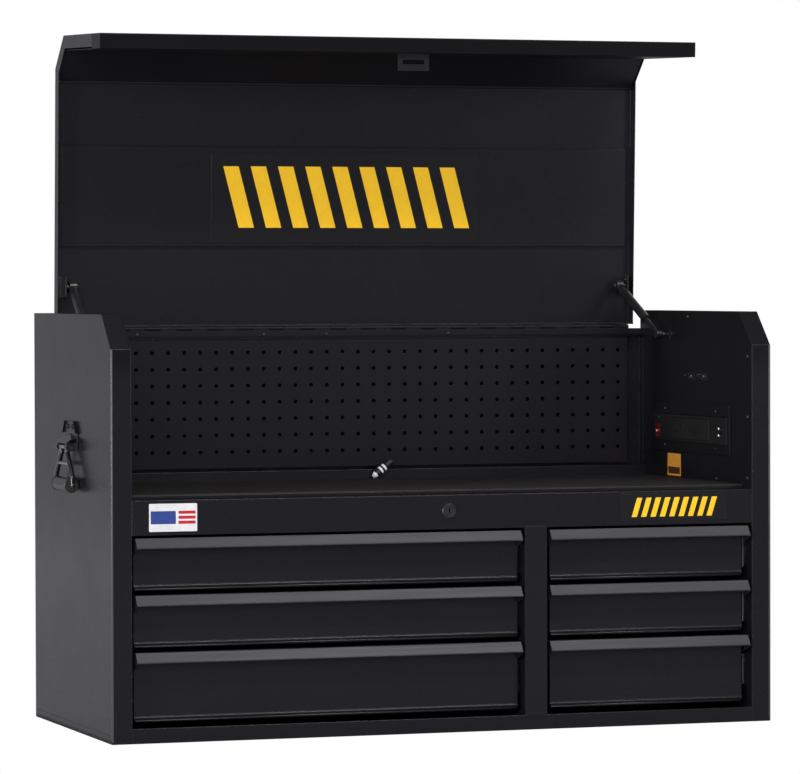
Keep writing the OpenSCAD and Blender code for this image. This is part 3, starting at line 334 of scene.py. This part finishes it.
# Grips of the side handles
skin = Shader("grip_plastic", (0.012, 0.0118, 0.0128), 0.34, level=0.5)
skin.tint(skin.noise(60, 3), (0.01, 0.01, 0.011), (0.016, 0.0157, 0.017))
skin.soft_edges(0.0006)
skin.bump(skin.noise(1600, 2), 0.12, 0.0003)
MATS["grip"] = skin

# Striker plate of the lock
skin = Shader("striker_steel", (0.007, 0.007, 0.008), 0.5, level=0.12)
skin.tint(skin.noise(60, 4), (0.011, 0.0108, 0.0125), (0.0155, 0.0152, 0.0172))
skin.roughen(skin.noise(200, 3), 0.3, 0.44)
skin.soft_edges(0.0005)
MATS["striker"] = skin

# Cylinders of the gas struts
skin = Shader("strut_satin", (0.011, 0.011, 0.012), 0.3, level=0.5)
skin.tint(skin.noise(60, 3), (0.009, 0.009, 0.01), (0.0145, 0.0145, 0.0155))
skin.roughen(skin.noise(240, 3), 0.24, 0.38)
skin.soft_edges(0.0006)
MATS["strut_black"] = skin

# Rods of the gas struts
skin = Shader("strut_rod", (0.02, 0.02, 0.0215), 0.2, metal=0.4)
skin.tint(skin.noise(90, 3), (0.016, 0.016, 0.017), (0.026, 0.026, 0.028))
skin.roughen(skin.noise(400, 3), 0.15, 0.26)
skin.soft_edges(0.0004)
MATS["strut_rod"] = skin

# Solids whose body slot has a coat of its own
OWN_COAT = {
    "lid_shell": "lid_body",
    "lid_front_channel": "channel",
    "liner_right": "wall",
    "power_cover": "wall",
    "till_tray": "wall",
    "side_left": "frame",
    "side_right": "frame",
    "front_header": "frame",
    "bottom_rail": "frame",
}
# Solids that have one material all over, whatever their slots say
ONE_COAT = {"lid_striker": "striker", "hinge_rail": "rail", "pegboard": "peg"}


def dress_solids():
    for name, node in nodes.items():
        for spot in node.material_slots:
            found = spot.material.name.split(".")[0] if spot.material else "body"
            if found == "body":
                found = OWN_COAT.get(name, found)
            found = ONE_COAT.get(name, found)
            spot.material = MATS.get(found, MATS["body"]).mat


dress_solids()


# Materials of the pieces that are made here
def flat_print(name, colour, lift=0.0):
    """Ink or film on a sticker, with a faint mottling; lift gives it a painted glow."""
    ink = Shader(name, colour, 0.35, level=0.4)
    pale = tuple(min(1.0, c * 1.06) for c in colour)
    deep = tuple(c * 0.93 for c in colour)
    ink.tint(ink.noise(90, 4), deep, pale)
    ink.roughen(ink.noise(240, 3), 0.3, 0.43)
    ink.bump(ink.noise(1800, 2), 0.05, 0.0002)
    ink.shine(colour, lift)
    return ink.mat


# The yellow and orange inks carry a painted glow from their lift
YELLOW = flat_print("print_yellow", (1.0, 0.57, 0.016), 0.12)
WHITE = flat_print("print_white", (0.78, 0.78, 0.79))
BLUE = flat_print("print_blue", (0.03, 0.06, 0.26))
RED = flat_print("print_red", (0.55, 0.02, 0.03))
ORANGE = flat_print("print_orange", (0.86, 0.38, 0.05), 0.06)
BROWN = flat_print("print_brown", (0.09, 0.03, 0.012))
# Pale coat of the cord boot's bands and tip, a painted highlight on its glossy ribs
BOOT_HIGHLIGHT = flat_print("boot_painted_highlight", (0.8, 0.8, 0.82))


def port_glow_insert():
    """White inserts of the charging ports, with a painted glow."""
    lamp = Shader("port_white", (0.8, 0.8, 0.8), 0.3)
    lamp.tint(lamp.noise(200, 2), (0.74, 0.74, 0.74), (0.86, 0.86, 0.86))
    lamp.shine((1, 1, 1), 0.35)
    return lamp.mat


def rocker_glow():
    """Bright spot where the switch's lamp shows through."""
    glow = Shader("rocker_glow", (0.8, 0.3, 0.28), 0.3)
    glow.tint(glow.noise(200, 2), (0.7, 0.24, 0.22), (0.9, 0.4, 0.38))
    glow.shine((1, 0.45, 0.42), 0.5)
    return glow.mat


def edge_highlight_paint():
    """Coat on a folded corner, paler than the coat around it as a painted highlight."""
    edge = Shader("edge_highlight_paint", (0.06, 0.058, 0.066), 0.34, level=0.6)
    edge.tint(edge.noise(20, 3), (0.057, 0.055, 0.063), (0.063, 0.061, 0.069))
    edge.roughen(edge.noise(300, 2), 0.3, 0.38)
    return edge.mat


PORT_GLOW_INSERT = port_glow_insert()
ROCKER_GLOW = rocker_glow()
EDGE_HIGHLIGHT = edge_highlight_paint()
PLATE = paint("plate_film", (0.0085, 0.0085, 0.0102), (0.0105, 0.0105, 0.0125), 0.22, 0.36, 0.0005).mat
LINING = paint("lining_paint", (0.0105, 0.01, 0.0128), (0.0113, 0.0108, 0.0137), 0.3, 0.3).mat


# Mesh builders
def lid_turn():
    """Coordinates of the shut lid to the open one at rest."""
    pivot = Vector(HINGE_PIVOT)
    turn = Matrix.Rotation(math.radians(LID_TURN), 4, "X")
    return Matrix.Translation(pivot) @ turn @ Matrix.Translation(-pivot)


LID = lid_turn()


def piece(name, bm, material, body):
    """A finished mesh as an object that rides on a body."""
    bmesh.ops.recalc_face_normals(bm, faces=bm.faces)
    mesh = bpy.data.meshes.new(name)
    bm.to_mesh(mesh)
    bm.free()
    obj = bpy.data.objects.new(name, mesh)
    scene.collection.objects.link(obj)
    mesh.materials.append(material)
    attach(obj, body)


def skin_rings(bm, rings, smooth=False):
    """Faces between rings of vertices, closed at both ends."""
    for ring, following in zip(rings, rings[1:]):
        for i in range(len(ring)):
            j = (i + 1) % len(ring)
            bm.faces.new((ring[i], ring[j], following[j], following[i])).smooth = smooth
    bm.faces.new(rings[0])
    bm.faces.new(list(reversed(rings[-1])))


def turned(name, base, axis, profile, material, body, side=None, sides=24):
    """A body of revolution. The profile holds (distance along the axis, radius)."""
    axis = Vector(axis).normalized()
    side = Vector(side) if side else axis.orthogonal().normalized()
    other = axis.cross(side)
    bm = bmesh.new()
    rings = []
    for along, radius in profile:
        centre = Vector(base) + axis * along
        rings.append([
            bm.verts.new(centre + side * radius * math.cos(angle) + other * radius * math.sin(angle))
            for angle in (2 * math.pi * i / sides for i in range(sides))
        ])
    skin_rings(bm, rings, smooth=True)
    piece(name, bm, material, body)


def folded_strip(name, path, half_width, thick, material, body):
    """A bent sheet of the shut lid, along X. The path holds (Y, Z), and it thickens to its left."""
    bm = bmesh.new()
    rings = []
    for i, (y, z) in enumerate(path):
        before = path[max(i - 1, 0)]
        after = path[min(i + 1, len(path) - 1)]
        run_y, run_z = after[0] - before[0], after[1] - before[1]
        run = math.hypot(run_y, run_z)
        out_y, out_z = -run_z / run * thick, run_y / run * thick
        rings.append([bm.verts.new(LID @ Vector(corner)) for corner in (
            (-half_width, y, z),
            (half_width, y, z),
            (half_width, y + out_y, z + out_z),
            (-half_width, y + out_y, z + out_z),
        )])
    skin_rings(bm, rings)
    piece(name, bm, material, body)


def rounded(x0, x1, y0, y1, radius, steps=5):
    """Corner points of a rectangle with rounded corners, counter-clockwise."""
    corners = (
        (x1 - radius, y1 - radius, 0),
        (x0 + radius, y1 - radius, 90),
        (x0 + radius, y0 + radius, 180),
        (x1 - radius, y0 + radius, 270),
    )
    points = []
    for centre_x, centre_y, start in corners:
        for i in range(steps + 1):
            angle = math.radians(start + 90 * i / steps)
            points.append((centre_x + radius * math.cos(angle), centre_y + radius * math.sin(angle)))
    return points


def slanted_bars(x0, x1, z0, z1, count, lean, fill=0.56):
    """A row of equal slanted bars. Each takes up a share, fill, of the pitch."""
    pitch = (x1 - x0 - lean) / (count - 1 + fill)
    bars = []
    for i in range(count):
        left = x0 + i * pitch
        right = left + fill * pitch
        bars.append([(left, z0), (right, z0), (right + lean, z1), (left + lean, z1)])
    return bars


def slab(name, outlines, place, thick, material, body, edge=0.00008):
    """Flat pieces with a fine chamfer. place turns (across, up, height) into a point of the chest."""
    bm = bmesh.new()
    for points in outlines:
        shoulder = [bm.verts.new(place(u, v, thick - edge)) for u, v in points]
        foot = [bm.verts.new(place(u, v, 0)) for u, v in points]
        mid_u = sum(point[0] for point in points) / len(points)
        mid_v = sum(point[1] for point in points) / len(points)
        top = []
        for u, v in points:
            reach = math.hypot(u - mid_u, v - mid_v)
            share = 1 - edge * 1.5 / reach
            top.append(bm.verts.new(place(mid_u + (u - mid_u) * share, mid_v + (v - mid_v) * share, thick)))
        bm.faces.new(top)
        bm.faces.new(list(reversed(foot)))
        for i in range(len(points)):
            j = (i + 1) % len(points)
            bm.faces.new((foot[i], foot[j], shoulder[j], shoulder[i]))
            bm.faces.new((shoulder[i], shoulder[j], top[j], top[i]))
    piece(name, bm, material, body)


# Lining of the lid: up behind the front, back along a slope, and over the stiffener's edge
LINING_HALF = 0.4795
LINING_SHEET = 0.0008
LINING_FRONT = -0.2003
LINING_FOOT = 0.4055
LINING_BEND = 0.5735
LINING_SLOPE = 0.0463


def lid_lining():
    slope_y = LINING_FRONT + LINING_SLOPE
    slope_z = LINING_BEND + LINING_SLOPE
    path = [
        (LINING_FRONT, LINING_FOOT),
        (LINING_FRONT, LINING_BEND),
        (slope_y, slope_z),
        (slope_y + 0.0025, slope_z + 0.001),
        (slope_y + 0.0035, slope_z + 0.005),
    ]
    folded_strip("lid_lining", path, LINING_HALF, LINING_SHEET, LINING, "lid")


# Rolled hems under the drawer fronts
HEM_RADIUS = 0.0023
HEM_BEHIND_FACE = 0.0024
HEM_UNDER_FACE = 0.0019
HEM_SHORT = 0.0008
FACE_SHEET = 0.001


def drawer_hem(n):
    face_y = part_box("drawer_%d_box" % n)[0][1]
    face = [v.co for v in nodes["drawer_%d_box" % n].data.vertices if v.co.y < face_y + FACE_SHEET]
    left = min(point.x for point in face) + HEM_SHORT
    right = max(point.x for point in face) - HEM_SHORT
    foot = min(point.z for point in face) - HEM_UNDER_FACE
    end = 0.3 * HEM_RADIUS
    profile = [
        (0, 0.7 * HEM_RADIUS),
        (end, HEM_RADIUS),
        (right - left - end, HEM_RADIUS),
        (right - left, 0.7 * HEM_RADIUS),
    ]
    turned(
        "drawer_%d_hem" % n, (left, face_y + HEM_BEHIND_FACE, foot), (1, 0, 0), profile,
        MATS["body"].mat, "drawer_%d" % n, side=(0, 1, 0), sides=20,
    )


# Folded corners of the two front posts, up to the sides' slope, in a paler coat that is a painted highlight
CORNER_X = 0.5195
CORNER_Y = -0.2274
CORNER_FOOT = 0.003
CORNER_LENGTH = 0.573
CORNER_RADIUS = 0.0018
CORNER_END = 0.0008
CORNER_END_RADIUS = 0.0015


def post_corner(n, hand):
    profile = [
        (0, CORNER_END_RADIUS),
        (CORNER_END, CORNER_RADIUS),
        (CORNER_LENGTH - CORNER_END, CORNER_RADIUS),
        (CORNER_LENGTH, CORNER_END_RADIUS),
    ]
    turned(
        "post_corner_%d" % n, (hand * CORNER_X, CORNER_Y, CORNER_FOOT), (0, 0, 1), profile,
        EDGE_HIGHLIGHT, "cabinet",
    )


# Bright spot on the rocker switch
GLOW_SUNK = 0.0012
GLOW_Y = 0.1387
GLOW_Z = 0.4343


def rocker_lamp():
    turned(
        "rocker_lamp", (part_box("rocker_switch")[0][0] + GLOW_SUNK, GLOW_Y, GLOW_Z), (-1, 0, 0),
        [(0, 0.0015), (0.0009, 0.0015), (0.0012, 0.0012)], ROCKER_GLOW, "rocker",
    )


# Painted highlights on the cord boot, as pale bands and a pale tip; the boot leans to the right
BOOT_LEAN = 52
BOOT_FOOT_IN = 0.0016
BOOT_FOOT_UP = 0.00205
BAND_PLACES = (0.0156, 0.0226)
BAND_RADIUS = 0.0062
BAND_EDGE_RADIUS = 0.00605
BAND_WIDTH = 0.0038
BAND_EDGE = 0.0003


def cord_boot_highlights():
    boot_low, boot_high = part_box("cord_boot")
    foot = (boot_low[0] + BOOT_FOOT_IN, (boot_low[1] + boot_high[1]) / 2, boot_low[2] + BOOT_FOOT_UP)
    lean = math.radians(BOOT_LEAN)
    axis = (math.sin(lean), 0, math.cos(lean))
    for n, start in enumerate(BAND_PLACES):
        profile = [
            (start, BAND_EDGE_RADIUS),
            (start + BAND_EDGE, BAND_RADIUS),
            (start + BAND_WIDTH - BAND_EDGE, BAND_RADIUS),
            (start + BAND_WIDTH, BAND_EDGE_RADIUS),
        ]
        turned("cord_boot_band_%d" % n, foot, axis, profile, BOOT_HIGHLIGHT, "cabinet")
    tip = [(0.0004, 0.0029), (0.0078, 0.00525), (0.008, 0.005)]
    turned("cord_boot_tip", foot, axis, tip, BOOT_HIGHLIGHT, "cabinet")


# White inserts in the two charging ports, with a painted glow, as (Y, Z)
PORT_PLACES = ((-0.1145, 0.4444), (-0.1144, 0.4338))
PORT_SUNK = 0.0004


def port_glow_inserts():
    profile = [(0, 0.0017), (0.0006, 0.0017), (0.0009, 0.0014)]
    for n, (u, v) in enumerate(PORT_PLACES):
        turned(
            "port_lamp_%d" % n, (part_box("outlet_block")[0][0] + PORT_SUNK, u, v), (-1, 0, 0), profile,
            PORT_GLOW_INSERT, "cabinet",
        )


lid_lining()
for n in range(1, 7):
    drawer_hem(n)
for n, hand in enumerate((-1, 1)):
    post_corner(n, hand)
rocker_lamp()
cord_boot_highlights()
port_glow_inserts()


# Faces that the prints lie on, as a point for (across, up, height)
def on_header(u, v, h):
    return Vector((u, HEADER_Y - h, v))


def on_stiffener(u, v, h):
    """u is X and v the shut lid's Y, on the underside of its stiffener."""
    return LID @ Vector((u, v, STIFFENER_Z - h))


def on_right_wall(u, v, h):
    return Vector((RIGHT_WALL_X - h, u, v))


def raised(place, by):
    """The same face, raised by what lies on it."""
    return lambda u, v, h: place(u, v, h + by)


# Thickness of the plates, the stickers and the inks
LID_PLATE_T = 0.0006
HEADER_PLATE_T = 0.0004
STICKER_T = 0.0002
LID_INK_T = 0.00012
HEADER_INK_T = 0.0001
STICKER_INK_T = 0.00006

# The lid's bars are drawn as they are seen, and flipped about this line
LID_BARS_FLIP = 0.0556


def on_lid_plate(u, v, h):
    return on_stiffener(u, LID_BARS_FLIP - v, h + LID_PLATE_T)


def plates():
    """The lid's plate and the header's, with generic slanted bars."""
    slab(
        "lid_plate", [rounded(-0.2297, 0.2185, -0.0453, 0.0975, 0.003)], on_stiffener,
        LID_PLATE_T, PLATE, "lid",
    )
    slab(
        "lid_plate_bars", slanted_bars(-0.1843, 0.1758, -0.018, 0.079, 9, -0.026), on_lid_plate,
        LID_INK_T, YELLOW, "lid",
    )
    slab(
        "header_plate", [rounded(0.2752, 0.4495, 0.3107, 0.352, 0.0015)], on_header,
        HEADER_PLATE_T, PLATE, "cabinet",
    )
    slab(
        "header_plate_bars", slanted_bars(0.2925, 0.4325, 0.3165, 0.3455, 9, 0.009),
        raised(on_header, HEADER_PLATE_T), HEADER_INK_T, YELLOW, "cabinet",
    )


def header_sticker():
    """White sticker with a blue field and three red stripes."""
    upon = raised(on_header, STICKER_T)
    stripes = [rounded(-0.4195, -0.3935, z, z + 0.0045, 0.0006) for z in (0.3205, 0.3278, 0.3351)]
    slab(
        "header_sticker", [rounded(-0.464, -0.391, 0.3094, 0.3504, 0.0015)], on_header,
        STICKER_T, WHITE, "cabinet",
    )
    slab(
        "header_sticker_blue", [rounded(-0.4615, -0.4235, 0.3205, 0.3395, 0.0008)], upon,
        STICKER_INK_T, BLUE, "cabinet",
    )
    slab("header_sticker_red", stripes, upon, STICKER_INK_T, RED, "cabinet")


def wall_sticker():
    """Orange sticker with a brown block at its foot."""
    slab(
        "wall_sticker_block", [rounded(0.0585, 0.1073, 0.3667, 0.3777, 0.0005)],
        raised(on_right_wall, STICKER_T), STICKER_INK_T, BROWN, "cabinet",
    )
    slab(
        "wall_sticker", [rounded(0.0555, 0.1103, 0.3637, 0.3992, 0.001)], on_right_wall,
        STICKER_T, ORANGE, "cabinet",
    )


plates()
header_sticker()
wall_sticker()


# Floor, backdrop and lights
def show_to_camera(tree, lit, seen, output):
    """The scene is lit by one shader, and the camera sees the other."""
    path = tree.nodes.new("ShaderNodeLightPath")
    mix = tree.nodes.new("ShaderNodeMixShader")
    tree.links.new(path.outputs["Is Camera Ray"], mix.inputs["Fac"])
    tree.links.new(lit, mix.inputs[1])
    tree.links.new(seen, mix.inputs[2])
    tree.links.new(mix.outputs["Shader"], output)


def floor_sheet(name, left, right, front, back, height, colour, lift=0.0):
    """A level sheet that looks white and gives back its own colour, and a little light with lift."""
    mesh = bpy.data.meshes.new(name)
    corners = [(left, front, height), (right, front, height), (right, back, height), (left, back, height)]
    mesh.from_pydata(corners, [], [(0, 1, 2, 3)])
    obj = bpy.data.objects.new(name, mesh)
    scene.collection.objects.link(obj)
    material = bpy.data.materials.new(name)
    material.use_nodes = True
    tree = material.node_tree
    dull = tree.nodes["Principled BSDF"]
    dull.inputs["Base Color"].default_value = (*colour, 1)
    dull.inputs["Roughness"].default_value = 0.9
    dull.inputs["Specular IOR Level"].default_value = 0.1
    dull.inputs["Emission Color"].default_value = (1, 1, 1, 1)
    dull.inputs["Emission Strength"].default_value = lift
    white = tree.nodes.new("ShaderNodeEmission")
    white.inputs["Strength"].default_value = 1.0
    output = tree.nodes["Material Output"].inputs["Surface"]
    show_to_camera(tree, dull.outputs["BSDF"], white.outputs["Emission"], output)
    mesh.materials.append(material)


def softbox(name, place, target, width, height, power):
    data = bpy.data.lights.new(name, "AREA")
    data.shape = "RECTANGLE"
    data.size = width
    data.size_y = height
    data.energy = power
    obj = bpy.data.objects.new(name, data)
    scene.collection.objects.link(obj)
    obj.location = place
    obj.rotation_mode = "QUATERNION"
    aim = Vector(target) - Vector(place)
    obj.rotation_quaternion = aim.to_track_quat("-Z", "Y")


def studio_world():
    """A dim sky that looks white."""
    world = bpy.data.worlds.new("studio")
    scene.world = world
    world.use_nodes = True
    tree = world.node_tree
    sky = tree.nodes["Background"]
    sky.inputs["Color"].default_value = (0.97, 0.965, 1.05, 1)
    sky.inputs["Strength"].default_value = 0.24
    white = tree.nodes.new("ShaderNodeBackground")
    white.inputs["Color"].default_value = (1, 1, 1, 1)
    white.inputs["Strength"].default_value = 1.0
    output = tree.nodes["World Output"].inputs["Surface"]
    show_to_camera(tree, sky.outputs["Background"], white.outputs["Background"], output)


floor_sheet("floor", -9, 9, -9, 9, 0, (0.45, 0.45, 0.46))
floor_sheet("floor_left", -5, -0.53, -0.2, 6, 0.001, (0.4, 0.4, 0.41), lift=0.24)
softbox("key_left", (-1.9, -4.4, 1.5), (0, 0, 0.55), 1.5, 1.7, 84)
softbox("key_right", (2.9, -3.8, 1.5), (0.1, 0, 0.5), 1.3, 1.6, 14)
softbox("front_top", (0.85, -2.0, 3.0), (0.1, 0, 0.4), 1.5, 0.4, 60)
softbox("edge_left", (-4.2, -1.4, 0.9), (-0.5, -0.2, 0.5), 1.0, 1.9, 80)
softbox("top", (-0.5, 0.0, 3.4), (-0.3, 0, 0), 2.0, 1.6, 3)
softbox("left_back", (-1.55, 2.1, 0.95), (-0.9, 0, 0.5), 2.2, 1.9, 2.15)
softbox("right_back", (2.4, 2.2, 1.2), (0.4, 0, 0.6), 1.6, 1.8, 8)
studio_world()
